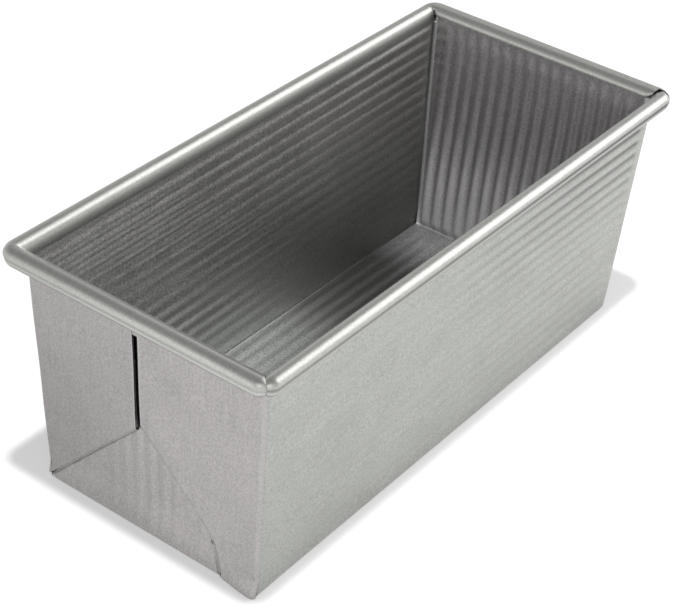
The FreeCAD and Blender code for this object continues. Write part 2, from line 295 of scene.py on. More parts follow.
# %% Section of the rolled rim
fillet_cells = 12
slant_cells = 6
roll_cells = 96
roll_first = fillet_cells + slant_cells
roll_tail = np.radians(-150)
layer_edge = np.radians(2)
layer_step = 0.35
layer_step_turn = np.radians(4)
lip_drop = 1.1
lip_turns = np.radians((6, -14))
side_flare = np.radians(23)
side_fillet = 9.5
front_flare = np.radians(50)
front_fillet = 2.2
rear_flare = np.radians(88)


class RimSection:
    """The rim's lines over one wall in order, as arrays of reach and height, with the turn round the wire
    and which lines are on the inner side. The peak is the highest line."""

    def __init__(self, foot, draft, wire_reach, flare, fillet):
        """The fillet's arc, the straight run that touches the roll, then the roll about the wire. Below its
        outermost line the roll steps in, where the sheet's outer layer ends, and hangs down as a lip."""
        across, rise = wire_reach - foot, wire_height - floor_level
        wire_out = across * np.cos(draft) - rise * np.sin(draft)
        wire_up = across * np.sin(draft) + rise * np.cos(draft)
        touch_out = wire_out - roll_middle * np.cos(flare)
        touch_up = wire_up + roll_middle * np.sin(flare)
        self.top = touch_up - touch_out / np.tan(flare) - fillet * np.tan(flare / 2)
        turn = np.linspace(0, flare, fillet_cells + 1)
        fillet_out = fillet * (1 - np.cos(turn))
        fillet_up = self.top + fillet * np.sin(turn)
        share = np.linspace(0, 1, slant_cells + 1)[1:-1]
        out = np.concatenate([fillet_out, fillet_out[-1] + share * (touch_out - fillet_out[-1])])
        up = np.concatenate([fillet_up, fillet_up[-1] + share * (touch_up - fillet_up[-1])])
        reach, height = lean(foot, draft, out, up)
        roll = np.linspace(np.pi - flare - draft, roll_tail, roll_cells + 1)
        radius = roll_middle - layer_step * smooth_step(roll, layer_edge, layer_edge - layer_step_turn)
        self.draft = draft
        self.wire = wire_reach
        self.turn = np.concatenate([np.full(roll_first, np.pi), roll])
        self.reach = np.concatenate([reach, wire_reach + radius * np.cos(roll)])
        lip = lip_drop * smooth_step(roll, *lip_turns)
        self.height = np.concatenate([height, wire_height + radius * np.sin(roll) - lip])
        self.order = np.arange(len(self.reach))
        self.peak = int(np.argmax(self.height))
        self.inside = self.order <= max(self.peak, roll_first)

    def inner_reach(self, height):
        """The reach of the inner side at a height: on the wall below the fillet, then up to the crest."""
        known_height, known_reach = self.height[:self.peak + 1], self.reach[:self.peak + 1]
        wall = known_reach[0] + (height - known_height[0]) * np.tan(self.draft)
        return np.where(height < known_height[0], wall, np.interp(height, known_height, known_reach))


side_rim = RimSection(side_foot, side_draft, side_wire_reach, side_flare, side_fillet)
front_rim = RimSection(end_foot, front_draft, end_wire_reach, front_flare, front_fillet)
rear_rim = RimSection(end_foot, rear_draft, end_wire_reach, rear_flare, roll_middle)
print("walls reach up", [round(float(section.top), 2) for section in (side_rim, front_rim, rear_rim)])

# %% [markdown]
# A wall starts as a quarter turn up from the base and then leans out. One function gives the bend and the
# wall as a line of points with the direction that faces the loaf, so the same line serves the ends and the
# sides. The folding press leaves the foot of an end wall kicked out a little.

# %% Wall line with its bend
bend_cells = 10
kick_rise = 16.0


def wall_line(foot, draft, top, cells, kick=0.0):
    """Points of a wall's middle line and their inward directions: an arc of the bend radius from straight
    down to the draft, then a run up the leaning wall. Returns reach, height, inward and up."""
    setback = bend_setback(draft)
    turn = np.linspace(-np.pi / 2, -draft, bend_cells + 1)[:-1]
    bend_reach = foot + kick - setback + floor_bend_radius * np.cos(turn)
    bend_height = floor_level + floor_bend_radius * (1 + np.sin(turn))
    up = np.linspace(setback, top, cells)
    reach, height = lean(foot, draft, kick * (1 - smooth_step(up, 0, kick_rise)), up)
    inward_reach = np.concatenate([-np.cos(turn), np.full(cells, -np.cos(draft))])
    inward_height = np.concatenate([-np.sin(turn), np.full(cells, np.sin(draft))])
    place = np.stack([np.concatenate([bend_reach, reach]), np.concatenate([bend_height, height])], axis=-1)
    inward = np.stack([inward_reach, inward_height], axis=-1)
    ups = np.concatenate([np.zeros(bend_cells), up])
    return place, inward, ups


def pressed(place, inward, press):
    """Reach and height of a wall line's points after each is pressed inwards."""
    reach = place[:, None, 0] + inward[:, None, 0] * press
    height = place[:, None, 1] + inward[:, None, 1] * press
    return reach, height


# %% [markdown]
# At each corner the sheet is folded like an envelope: the spare corner lies doubled against the outside
# of the end wall, with a slanting fold below and an upright edge beside a slot near the middle.
# The lower edges come first, because the end walls carry painted shade behind the flaps and along the
# folds.
# One flap of the front end was crushed in folding: its fold has a knee and drops steeply to the table.

# %% Lower edges of the corner flaps
slot_width = 2.3
slot_offset = 3.45
slot_top = 89.0
fold_slope = 1.045
long_fold_foot = 45.9
short_fold_foot = 50.0
crushed_knee = 27.9
crushed_foot = 33.3


def slot_edge(way):
    """Where the flap's upright edge stands, from the middle of the end towards the flap's own side."""
    return slot_width / 2 - way * slot_offset


def lower_edge(across, way, crushed):
    """Height of the flap's lower edge along the wall: the fold falls evenly towards the corner, and a
    crushed fold drops steeply to the table from its knee."""
    foot = long_fold_foot if way > 0 else short_fold_foot
    edge = np.maximum(fold_slope * (foot - across), 0)
    if crushed:
        knee_up = fold_slope * (foot - crushed_knee)
        drop = knee_up * (crushed_foot - across) / (crushed_foot - crushed_knee)
        edge = np.minimum(edge, np.maximum(drop, 0))
    return edge


def covered_above(across, crushed):
    """Height above which the flaps cover the end wall, for places measured towards the long flap: the long
    flap's edge on its side of the slot, the short flap's on the other, and a straight line between."""
    long_edge = lower_edge(across, 1, crushed)
    short_edge = lower_edge(-across, -1, False)
    share = np.clip((across + slot_edge(-1)) / (slot_edge(-1) + slot_edge(1)), 0, 1)
    middle = short_edge + share * (long_edge - short_edge)
    return np.where(across > slot_edge(1), long_edge, np.where(across < -slot_edge(-1), short_edge, middle))


print("folds meet the slot at", lower_edge(slot_edge(1), 1, False), lower_edge(slot_edge(-1), -1, False))

# %% [markdown]
# The end walls stand between the sides, and the ribs of the base run on up them. Their upright edges roll
# away from the loaf into the folds of the corner flaps, and the rounded strip in each inside corner gets a
# painted highlight. Outside, the wall behind the flaps is painted black as shade, with painted shade below
# the folds and along the foot. The ribs of the rear wall are pressed deeper, and low down their crests get
# a painted highlight.

# %% Ribbed end walls
end_wall_cells = 170
edge_seam = 0.4
edge_round = 2.0
edge_round_share = 0.97
front_rib_share = 0.6
rear_rib_share = 1.5
rib_fade = 9.0
long_fold_shade = (4.2, 2.9)
short_fold_shade = (1.4, 1.1)
long_fold_painted_shade = 0.4
short_fold_painted_shade = 0.55
edge_painted_highlight = (2.3, 2.8)
end_film_and_light = (3.0, 0.95)
end_light_rise = 60.0
crest_painted_highlight = 1.2
crest_highlight_rise = (15.0, 75.0)
foot_painted_shade = 0.7
foot_shade_rise = 0.9


def rolled_away(past):
    """How far an edge lies behind its wall: a circle's drop at a distance past its start."""
    return edge_round - np.sqrt(edge_round ** 2 - past ** 2)


def end_wall(name, way, section, kick, crushed, rise_share, crest_highlight):
    """The wall line carried across the pan. The rib wave of the place across is pressed inwards and fades
    out below the rim, and the last stretch beside each edge follows a circle away from the loaf."""
    place, inward, ups = wall_line(end_foot, section.draft, section.top, end_wall_cells, kick)
    share = np.linspace(-1, 1, end_rib_count * rib_cells + 1)
    half = side_foot + ups * np.sin(side_draft) - half_sheet - edge_seam
    across = half[:, None] * share
    fade = smooth_step(ups, 0, rib_run_out) * smooth_step(section.top - ups, 0, rib_fade)
    ribs = rib_wave(across, end_wave_low, end_rib_count, rib_pitch) * rise_share * fade[:, None]
    past = np.clip(np.abs(across) - (half - edge_round)[:, None], 0, edge_round_share * edge_round)
    press = ribs - rolled_away(past) * smooth_step(ups, 0, kick_rise)[:, None]
    reach, height = pressed(place, inward, press)
    covered = covered_above(way * across, crushed) - ups[:, None]
    # painted shade on the wall just below the folds of the flaps
    long_shade = long_fold_painted_shade * smooth_step(covered, *long_fold_shade)
    short_shade = short_fold_painted_shade * smooth_step(covered, *short_fold_shade)
    shade = np.where(way * across > slot_edge(1), long_shade, short_shade)
    # painted shade: black where the flaps cover the wall, and in the slot between them
    soot = np.maximum(shade, smooth_step(covered, half_sheet, -half_sheet))
    # painted shade along the foot, where the wall meets the table
    soot = np.maximum(soot, foot_painted_shade * (1 - smooth_step(height, 0, foot_shade_rise)))
    # painted highlight on the rounded upright edges, stronger high up
    edge_highlight = between(edge_painted_highlight, smooth_step(ups, end_light_rise, section.top))
    worn = edge_highlight[:, None] * smooth_step(past, 0, edge_round / 2)
    # painted highlight on the rib crests low on the wall
    crest = (ribs / (rise_share * rib_rise)) ** 2 * (1 - smooth_step(ups, *crest_highlight_rise))[:, None]
    worn = np.maximum(worn, crest_highlight * crest)
    # painted light: the film is thicker low on the wall, so the wall is paler there
    film_and_painted_light = between(end_film_and_light, smooth_step(height, 0, end_light_rise))
    return sheet_piece(name, np.stack([way * reach, across, height], axis=-1), soot, worn, film_and_painted_light=film_and_painted_light)


front_wall = end_wall("front_end_wall", -1, front_rim, front_kick, True, front_rib_share, 0)
rear_wall = end_wall("rear_end_wall", 1, rear_rim, rear_kick, False, rear_rib_share, crest_painted_highlight)
settle(front_wall, "sheet", "front_end_panel")
settle(rear_wall, "sheet", "rear_end_panel")

# %% [markdown]
# The flaps' leaves are grids between their lower edges and the rim, carried round the upright corners.
# At the foot of most corners the doubled sheet springs outwards into a small ear. The crushed flap also
# has a crease beside its dropped fold, a valley with a ridge next to it.

# %% Corner flaps
inner_leaf_out = 0.85
outer_leaf_out = 1.7
leaf_top = 97.0
corner_round = 1.3
corner_bend_out = outer_leaf_out - corner_round
leaf_cells = 200
corner_cells = 12
leaf_rows = 120
leaf_row_power = 1.5
fold_line_painted_shade = 0.2
dimming_least_share = 0.4
fold_line_rise = (0.15, 0.7)
ear_rise = 8.0
ear_run = 20.0
ear_follow_share = 0.85
buckle = 0.12
buckle_across = 31.0
buckle_up = 47.0
crease_line = [(29.2, 14.9), (30.7, 14.2), (32.3, 6.9), (33.8, 0.8)]
crease_depth = 0.45
crease_width = 0.5
ridge_step = 1.3
ridge_rise = 0.35
ridge_width = 0.9
crease_painted_shade = 0.6
slot_highlight_width = 0.7
corner_painted_highlight = 0.5


def end_place(end, way, across, out, up):
    """A point of an end's flap in the pan: the rear end is as measured, the front is turned half round."""
    reach, height = lean(end_foot, front_draft if end < 0 else rear_draft, out, up)
    return np.stack(np.broadcast_arrays(end * reach, end * way * across, height), axis=-1)


def near_line(across, up, line):
    """Distance from a bent line: the least of the distances from its straight runs."""
    nearest = np.full(np.broadcast(across, up).shape, np.inf)
    for (a, b), (c, d) in zip(line[:-1], line[1:]):
        share = ((across - a) * (c - a) + (up - b) * (d - b)) / ((c - a) ** 2 + (d - b) ** 2)
        share = np.clip(share, 0, 1)
        nearest = np.minimum(nearest, np.hypot(across - a - share * (c - a), up - b - share * (d - b)))
    return nearest


def outer_leaf(name, end, way, crushed, ear_out, ear_side, dull):
    """The flat of the leaf from the slot to the corner, and a quarter turn round the upright corner, with
    the ear at its foot, a slight buckle and, on the crushed leaf, the crease. A painted shade can darken
    the leaf towards the corner."""
    share = np.linspace(0, 1, leaf_cells + 1)
    turn = np.linspace(0, np.pi / 2, corner_cells + 1)[1:]
    turns = np.concatenate([np.zeros(leaf_cells + 1), turn])
    flat = np.concatenate([share, np.ones(corner_cells)])
    start = slot_edge(way)
    foot_across = start + flat * (side_foot - corner_round - start)
    low = lower_edge(foot_across + corner_round * np.sin(turns), way, crushed)
    up = low + np.linspace(0, 1, leaf_rows)[:, None] ** leaf_row_power * (leaf_top - low)
    ear_across = smooth_step(foot_across, side_foot - ear_run, side_foot - corner_round)
    ear = (1 - smooth_step(up, 0, ear_rise)) * ear_across
    across = foot_across + flat * up * np.sin(side_draft) + corner_round * np.sin(turns) + ear * ear_side
    out = outer_leaf_out - corner_round * (1 - np.cos(turns)) + ear * ear_out
    out = out + buckle * np.sin(2 * np.pi * (across / buckle_across + up / buckle_up)) * np.cos(turns)
    # painted shade: a dark line along the leaf's lower edge at the fold
    soot = fold_line_painted_shade * (1 - smooth_step(up - low, *fold_line_rise)) * np.cos(turns)
    # painted shade darkening the leaf towards the corner
    soot = np.maximum(soot, dull * between((dimming_least_share, 1), flat))
    if crushed:
        valley = bell(near_line(across, up, crease_line), 0, crease_width)
        ridge = bell(near_line(across - ridge_step, up, crease_line), 0, ridge_width)
        out = out - crease_depth * valley + ridge_rise * ridge
        # painted shade in the valley of the crease
        soot = np.maximum(soot, crease_painted_shade * valley)
    # painted highlights beside the slot and round the upright corner
    worn = np.maximum(bell(across - start, 0, slot_highlight_width), corner_painted_highlight * np.sin(2 * turns))
    return sheet_piece(name, end_place(end, way, across, out, up), soot, worn)


flaps = table(("end", "way", "crushed", "ear_out", "ear_side", "dull"), {
    "front_right": (-1, 1, True, 2.0, 0.2, 0.0),
    "front_left": (-1, -1, False, 0.6, 0.9, 0.1),
    "rear_left": (1, 1, False, 0.6, 0.5, 0.05),
    "rear_right": (1, -1, False, -0.5, 0.0, 0.0),
})
for corner, flap in flaps.items():
    settle(outer_leaf(corner + "_flap", **flap), "sheet", corner + "_outer_leaf")

# %% [markdown]
# The fold itself is a half turn square to the lower edge, and behind it the second leaf runs up between
# the flap and the wall. It shows only as the rounded edge under each flap, so a short leaf is enough.
# Above the slot the two flaps are joined by a small bridge, which closes the slot under the rim.

# %% Folds and bridges
fold_cells = 120
fold_turn_cells = 12
hidden_leaf = 30.0
hidden_leaf_cells = 20
fold_radius = (outer_leaf_out - inner_leaf_out) / 2
fold_painted_shade = 0.5
bridge_lap = 0.7
bridge_set_back = 0.15
bridge_cells = 8


def inner_leaf(name, end, way, crushed):
    """The slanting fold, a half turn square to the lower edge, and the leaf that runs up behind it."""
    share = np.linspace(0, 1, fold_cells + 1)
    start = slot_edge(way)
    foot_across = start + share * (side_foot - corner_round - start)
    low = lower_edge(foot_across, way, crushed)
    slope = np.gradient(low, foot_across)
    away = np.stack([slope, -np.ones_like(slope)]) / np.hypot(slope, 1)
    turn = np.linspace(0, np.pi, fold_turn_cells + 1)[:, None]
    behind = np.linspace(0, hidden_leaf, hidden_leaf_cells)[1:, None]
    turns = np.concatenate([turn, np.full_like(behind, np.pi)])
    bulge = fold_radius * np.sin(turns)
    up = low + away[1] * bulge + np.concatenate([np.zeros_like(turn), behind])
    across = foot_across + away[0] * bulge + share * up * np.sin(side_draft)
    out = inner_leaf_out + fold_radius + fold_radius * np.cos(turns)
    # painted shade: darker round the underside of the fold
    soot = fold_painted_shade * np.sin(turns / 2)
    return sheet_piece(name, end_place(end, way, across, out, np.maximum(up, half_sheet)), soot)


def slot_bridge(name, end):
    """A flat strip across the top of the slot, a little behind the faces of the leaves."""
    low_edge = -slot_edge(-1) - bridge_lap
    high_edge = slot_edge(1) + bridge_lap
    across = np.linspace(low_edge, high_edge, bridge_cells + 1)
    up = np.linspace(slot_top, leaf_top, bridge_cells + 1)[:, None]
    return sheet_piece(name, end_place(end, 1, across, outer_leaf_out - bridge_set_back, up))


for corner, flap in flaps.items():
    fold = inner_leaf(corner + "_fold", flap["end"], flap["way"], flap["crushed"])
    settle(fold, "sheet", corner + "_inner_leaf")
settle(slot_bridge("front_bridge", -1), "sheet")
settle(slot_bridge("rear_bridge", 1), "sheet")

# %% [markdown]
# The long sides carry ribs that run along the pan, a little askew to it. Near the corners the ribs are
# flattened by the folding press, so their rise fades there. They are flatter towards the front end and low
# down, and on the left a nearly plain band slants through them. Painted shade lies in the grooves outside
# and, more thinly, in the valleys inside; inside it also darkens the corner seams and the lower rear part.

# %% Ribbed long sides
side_rib_pitch = 5.78
side_rib_count = 16
side_wave_low = 4.8
rib_skew_share = 0.0125
skew_from = 80.0
rib_top_fade = 1.5
low_rib_run_shares = (0.25, 0.65)
plain_band_rise = (76.0, -16.0)
plain_band_widths = (8.0, 24.0)
low_rib_rise = (8.0, 45.0)
side_cells = 140
plain_cells = 20
corner_plain = 0.5
corner_run_out = 5.0
flat_run_shares = (-0.4, 0.8)
seam_painted_shade = 0.5
seam_shade_run = (2.5, 2.0)
seam_rise = (20.0, 95.0)
seam_least_share = 0.2
valley_painted_shade = 0.13
valley_middle = 55.0
valley_width = 28.0
low_painted_shade = 0.45
low_shade_rise = (15.0, 75.0)
low_shade_run_shares = (0.45, 0.85)
groove_painted_shade = 0.6
groove_rise = (40.0, 92.0)
groove_run_shares = (0.3, 0.95)
side_film_and_light = (1.15, 0.25)
side_light_shares = (0.35, 1.7)


def side_ends(section, ups, height, ear_out):
    """How far the side runs towards one end: to the bend of the corner flap, under the end's rim and, at
    the foot, part of the way out into the ear."""
    half = lean(end_foot, section.draft, corner_bend_out, ups)[0]
    half = np.where(ups > section.top, section.inner_reach(height), half)
    return half + ear_follow_share * ear_out * (1 - smooth_step(ups, 0, ear_rise))


def side_wall(name, way, rise_shares, low_shares, plain_share, front_flap, rear_flap):
    """The wall line carried along the pan, with the rib wave of the height pressed inwards. The foot of
    each end follows the ear of its flap."""
    cells = side_rib_count * rib_cells + plain_cells
    place, inward, ups = wall_line(side_foot, side_draft, side_rim.top, cells)
    share = (1 - np.cos(np.linspace(0, np.pi, side_cells + 1))) / 2
    front = -side_ends(front_rim, ups, place[:, 1], front_flap["ear_out"])[:, None]
    rear = side_ends(rear_rim, ups, place[:, 1], rear_flap["ear_out"])[:, None]
    along = front + share * (rear - front)
    from_end = np.minimum(along - front, rear - along)
    fade = smooth_step(from_end, corner_plain, corner_plain + corner_run_out)
    fade = fade * smooth_step(side_rim.top - ups, 0, rib_top_fade)[:, None]
    skewed = ups[:, None] - way * rib_skew_share * (along - skew_from)
    ribs = rib_wave(skewed, side_wave_low, side_rib_count, side_rib_pitch) * fade
    kept = between(rise_shares, smooth_step(2 * share - 1, *flat_run_shares))
    low_kept = between(low_shares, smooth_step(share, *low_rib_run_shares))
    kept = kept * between((low_kept, 1), smooth_step(ups, *low_rib_rise)[:, None])
    plain = bell(ups[:, None], between(plain_band_rise, share), between(plain_band_widths, share))
    kept = kept * (1 - plain_share * plain)
    reach, height = pressed(place, inward, ribs * kept)
    ears = front_flap["ear_side"] * (1 - smooth_step(along - front, 0, ear_run))
    ears = ears + rear_flap["ear_side"] * (1 - smooth_step(rear - along, 0, ear_run))
    reach = reach + ears * ((1 - smooth_step(ups, 0, ear_rise)) * inward[:, 0] ** 2)[:, None]
    # painted shade in the inside corner seams
    seam = seam_painted_shade * smooth_step(from_end, *seam_shade_run)
    seam = seam * between((seam_least_share, 1), smooth_step(ups, *seam_rise))[:, None]
    # painted shade low down towards the rear end
    low = low_painted_shade * (1 - smooth_step(ups, *low_shade_rise))[:, None]
    low = low * smooth_step(share, *low_shade_run_shares)
    # painted shade in the rib valleys inside
    valley = valley_painted_shade * (1 - ribs / rib_rise) ** 2 * fade
    valley = valley * bell(ups, valley_middle, valley_width)[:, None]
    soot = np.maximum(seam, low + valley)
    # painted shade in the grooves outside, high up and towards the rear
    groove_shade = groove_painted_shade * (ribs / rib_rise) ** 2 * smooth_step(share, *groove_run_shares)
    groove_shade = groove_shade * smooth_step(ups, *groove_rise)[:, None]
    # painted light: the film is thicker towards the front end and high up, so the wall is paler there
    film_and_painted_light = between(side_film_and_light, smooth_step(share, 0, 1))
    film_and_painted_light = film_and_painted_light * between(side_light_shares, smooth_step(ups, 0, side_rim.top))[:, None]
    return sheet_piece(name, np.stack([along, way * reach, height], axis=-1), groove_shade, 0.0, soot, film_and_painted_light)


side_ribs = table(("way", "rise_shares", "low_shares", "plain_share"), {
    "left": (1, (0.95, 1.35), (0.5, 0.25), 0.9),
    "right": (-1, (0.25, 1.2), (0.6, 0.6), 0.0),
})
for side, ribs in side_ribs.items():
    side_flaps = {"front_flap": flaps["front_" + side], "rear_flap": flaps["rear_" + side]}
    settle(side_wall(side + "_side_wall", **ribs, **side_flaps), "sheet", side + "_side_panel")

# %% [markdown]
# The rims over the sides and the ends have different sections, so each line of a rim carries two reaches:
# its own, and that of the neighbouring rim at the same height. A line runs straight along the pan and
# then round the corner to a seam. The front left corner is closed, the rolls at the front right are
# pinched together, and the seam at the rear left has painted shade on the inside only. At the rear right
# the side's roll takes most of the corner inside the crest, and the end's roll takes most of it outside.

# %% Rolled rim
straight_cells = 80
turn_cells = 24
rim_corner_radius = 3.7
tightest_turn = 0.12
corner_taper = 3.0
dome_turn = np.radians(40)
dome_rows = 8
swing_turns = np.radians((110, 50))
open_seam = 0.08
seam_blur = 0.25
crest_clear = 0.6
crest_turn = np.radians(60)
crest_width = np.radians(30)
layer_shade_middle = np.radians(3)
layer_shade_turn = np.radians(11)
layer_least_share = 0.6
dimming_run_shares = (0.2, 1.0)
layer_highlight_turn = np.radians(-12)
layer_highlight_width = np.radians(4)
under_painted_shade = 0.5
under_turns = np.radians((-17, -28))
away_rows = (0, 8)
flare_painted_shades = (0.1, 0.55)
flare_row = 6
flare_row_width = 7
tuck = 2.0
tuck_shown_share = 0.15
tuck_taper = 1.5


def corner_radius(section):
    """The corner radius of each line: on the outer side it grows with the reach, on the inner side it is
    that of the side's roll at the same height, and below the wire it tapers to nearly nothing."""
    rise = np.clip(section.height - wire_height, 0, roll_middle)
    inner = rim_corner_radius - np.sqrt(roll_middle ** 2 - rise ** 2)
    inner = inner * smooth_step(section.height, wire_height - corner_taper, wire_height)
    outer = rim_corner_radius + section.reach - section.wire
    return np.maximum(np.where(section.inside, inner, outer), tightest_turn)


def tucked(section):
    """How far each line of a side's rim runs on behind the end wall: a set length below the wire, and none
    above it."""
    below = 1 - smooth_step(section.height, wire_height - tuck_taper, wire_height)
    return tuck * below if section is side_rim else 0 * below


def other_reach(section, other):
    """The reach of the neighbouring rim for each line: on the inner side at the same height, and on the
    outer side as far from its wire."""
    inner = other.inner_reach(section.height) + tucked(section)
    return np.where(section.inside, inner, other.wire + section.reach - section.wire)


def either_side(section, pair):
    """A value for each line of a rim: the first of a pair inside the crest, the second outside it, and a
    smooth change over the crest."""
    return between(pair, smooth_step(section.turn, *swing_turns))[:, None]


def carried(reach, low_other, high_other, radius, gaps, turn, straight_share):
    """Places along and out of lines that run straight and turn a corner at each end: along the straight the
    turn is nothing, and round a corner along and out follow the sine and cosine of the turn."""
    low_stop = -(low_other - radius) + gaps[0]
    high_stop = (high_other - radius) - gaps[1]
    along = low_stop + straight_share * (high_stop - low_stop) + radius * np.sin(turn)
    out = reach - radius + radius * np.cos(turn)
    return along, out


def rim_roll(name, section, sides, corners, along_x, way, layer_soot, dull):
    """The section's lines carried along the rim and round its corners, closed towards the wire where an end
    is domed, with painted shade in the seams, along the edge of the outer layer and under the roll, and a
    painted highlight on a thin line below the layer's edge."""
    low_side, high_side = sides
    low, high = (seams[kind] for kind in corners)
    corner = np.linspace(0, 1, turn_cells + 1)[1:]
    straight = (1 - np.cos(np.linspace(0, np.pi, straight_cells + 1))) / 2
    turn_share = np.concatenate([-corner[::-1], np.zeros(straight_cells + 1), corner])
    straight_share = np.concatenate([np.zeros(turn_cells), straight, np.ones(turn_cells)])
    low_other = other_reach(section, low_side)[:, None]
    high_other = other_reach(section, high_side)[:, None]
    radius = corner_radius(section)[:, None]
    low_turn, high_turn = either_side(section, low["turns"]), either_side(section, high["turns"])
    turn = np.where(turn_share < 0, turn_share * low_turn, turn_share * high_turn)
    gaps = (low["gap"], high["gap"])
    along, out = carried(section.reach[:, None], low_other, high_other, radius, gaps, turn, straight_share)
    wires = (section.wire, low_side.wire, high_side.wire)
    wire_along, wire_out = carried(*wires, rim_corner_radius, gaps, turn, straight_share)
    from_low = (turn + low_turn) / dome_turn
    from_high = (high_turn - turn) / dome_turn
    closed = low["dome"] * np.clip(1 - from_low, 0, 1) ** 2
    closed = closed + high["dome"] * np.clip(1 - from_high, 0, 1) ** 2
    order = section.order[:, None]
    on_roll = smooth_step(order, roll_first, roll_first + dome_rows)
    keep = 1 - on_roll * closed
    along = wire_along + (along - wire_along) * keep
    out = wire_out + (out - wire_out) * keep
    height = wire_height + (section.height[:, None] - wire_height) * keep
    length = run_length(np.stack([along, out, height], axis=-1), 1)
    to_end = np.minimum(length, length[:, -1:] - length)
    if not along_x:
        past = np.clip(edge_round + half_sheet + edge_seam - to_end, 0, edge_round_share * edge_round)
        out = out + rolled_away(past) * (1 - smooth_step(order, *away_rows))
    hidden = open_seam + (1 + tuck_shown_share) * tucked(section)[:, None] * (order < roll_first)
    end_painted_shades = either_side(section, low["soot"]), either_side(section, high["soot"])
    end_painted_shade = np.where(straight_share < straight[straight_cells // 2], *end_painted_shades)
    # painted shade in the corner seams, lighter over the crest
    seam = end_painted_shade * (1 - smooth_step(to_end, hidden, hidden + seam_blur))
    seam = seam * (1 - crest_clear * bell(section.turn, crest_turn, crest_width)[:, None])
    # painted shade along the outer layer's edge and under the roll
    layer = layer_soot * bell(section.turn, layer_shade_middle, layer_shade_turn)
    layer = np.maximum(layer, under_painted_shade * smooth_step(section.turn, *under_turns))
    layer = layer[:, None] * between((layer_least_share, 1), straight_share)
    # painted shade dimming the rim towards its high end
    layer = np.maximum(layer, dull * smooth_step(straight_share, *dimming_run_shares))
    # painted highlight on a thin line below the layer's edge
    worn = bell(section.turn, layer_highlight_turn, layer_highlight_width)[:, None]
    points = [along, way * out, height] if along_x else [way * out, along, height]
    # painted shade on the inner flare of the long sides
    flare = between(flare_painted_shades, straight_share) * bell(order, flare_row, flare_row_width) * along_x
    soot = np.maximum(np.maximum(seam, layer), flare)
    return sheet_piece(name, np.stack(points, axis=-1), soot, worn, soot, film_and_painted_light=0.0)


right_angle = np.pi / 2
seam_crack = np.radians(4)
half_corner = (right_angle / 2, right_angle / 2)
lap = (np.radians(72), np.radians(30))
stop = (right_angle - seam_crack - lap[0], right_angle - seam_crack - lap[1])
seams = table(("turns", "gap", "dome", "soot"), {
    "closed": (half_corner, 0.0, 0.0, (0.0, 0.0)),
    "pinched": (half_corner, 0.04, 0.24, (0.85, 0.85)),
    "split": (half_corner, -0.2, 0.0, (0.35, 0.0)),
    "lapping": (lap, 0.0, 0.12, (0.6, 0.6)),
    "stopped": (stop, 0.25, 0.0, (0.9, 0.9)),
})
ends, long_sides = (front_rim, rear_rim), (side_rim, side_rim)
rims = table(("section", "sides", "corners", "along_x", "way", "layer_soot", "dull"), {
    "left_rim": (side_rim, ends, ("closed", "split"), True, 1, 0.7, 0.0),
    "right_rim": (side_rim, ends, ("pinched", "lapping"), True, -1, 0.75, 0.0),
    "front_rim": (front_rim, long_sides, ("pinched", "closed"), False, -1, 0.3, 0.16),
    "rear_rim": (rear_rim, long_sides, ("stopped", "split"), False, 1, 0.4, 0.0),
})
for name, rim in rims.items():
    settle(rim_roll(name, **rim), "rim", name + "_roll")

# %% [markdown]
# The finishes are written as sums and products of node outputs. One small class wraps an output, so that
# ordinary arithmetic adds the Math nodes, and its node method adds any other kind of node.

# %% Arithmetic on node outputs
mix_colour_inputs = (6, 7)
mix_colour_output = 2


class Strand:
    """An output in a node tree. Arithmetic on values adds Math nodes, and node adds anything else."""

    def __init__(self, tree, socket=None):
        self.tree = tree
        self.socket = socket

    def node(self, kind, settings=None, inputs=None, output=0):
        """Adds a node: its settings first, with a ramp's stops, then its inputs as values or links."""
        new = self.tree.nodes.new(kind)
        for name, value in (settings or {}).items():
            if name == "stops":
                ramp = new.color_ramp
                ramp.elements[0].position, ramp.elements[0].color = value[0]
                ramp.elements[1].position, ramp.elements[1].color = value[-1]
                for place, colour in value[1:-1]:
                    ramp.elements.new(place).color = colour
            else:
                setattr(new, name, value)
        for name, value in (inputs or {}).items():
            if isinstance(value, Strand):
                self.tree.links.new(value.socket, new.inputs[name])
            else:
                new.inputs[name].default_value = value
        if not new.outputs:
            return new
        return Strand(self.tree, new.outputs[output])

    def value(self, operation, first, second=0.0):
        """A Math node on one or two values."""
        return self.node("ShaderNodeMath", {"operation": operation}, {0: first, 1: second})

    def __add__(self, other):
        return self.value("ADD", self, other)

    def __radd__(self, other):
        return self.value("ADD", other, self)

    def __sub__(self, other):
        return self.value("SUBTRACT", self, other)

    def __rsub__(self, other):
        return self.value("SUBTRACT", other, self)

    def __mul__(self, other):
        return self.value("MULTIPLY", self, other)

    def blend(self, first, second):
        """A colour between two colours, by this value."""
        mix = self.node("ShaderNodeMix", {"data_type": "RGBA"}, {0: self}, mix_colour_output)
        target = mix.socket.node
        for slot, colour in zip(mix_colour_inputs, (first, second)):
            if isinstance(colour, Strand):
                self.tree.links.new(colour.socket, target.inputs[slot])
            else:
                target.inputs[slot].default_value = colour
        return mix


def new_finish(name):
    """An empty material and the strand that adds its nodes."""
    material = bpy.data.materials.new(name)
    material.use_nodes = True
    material.node_tree.nodes.clear()
    return material, Strand(material.node_tree)


# %% [markdown]
# The sheet is steel with a dull aluminium coating. Close up it has a fine grain, soft blotches and faint
# streaks along the ribs. The side that faces the loaf has a thin baked film, which scatters some light, so
# it is a little less metallic. Marks on the meshes say where shade and highlights are painted into the
# colour and where the sheet is cut.

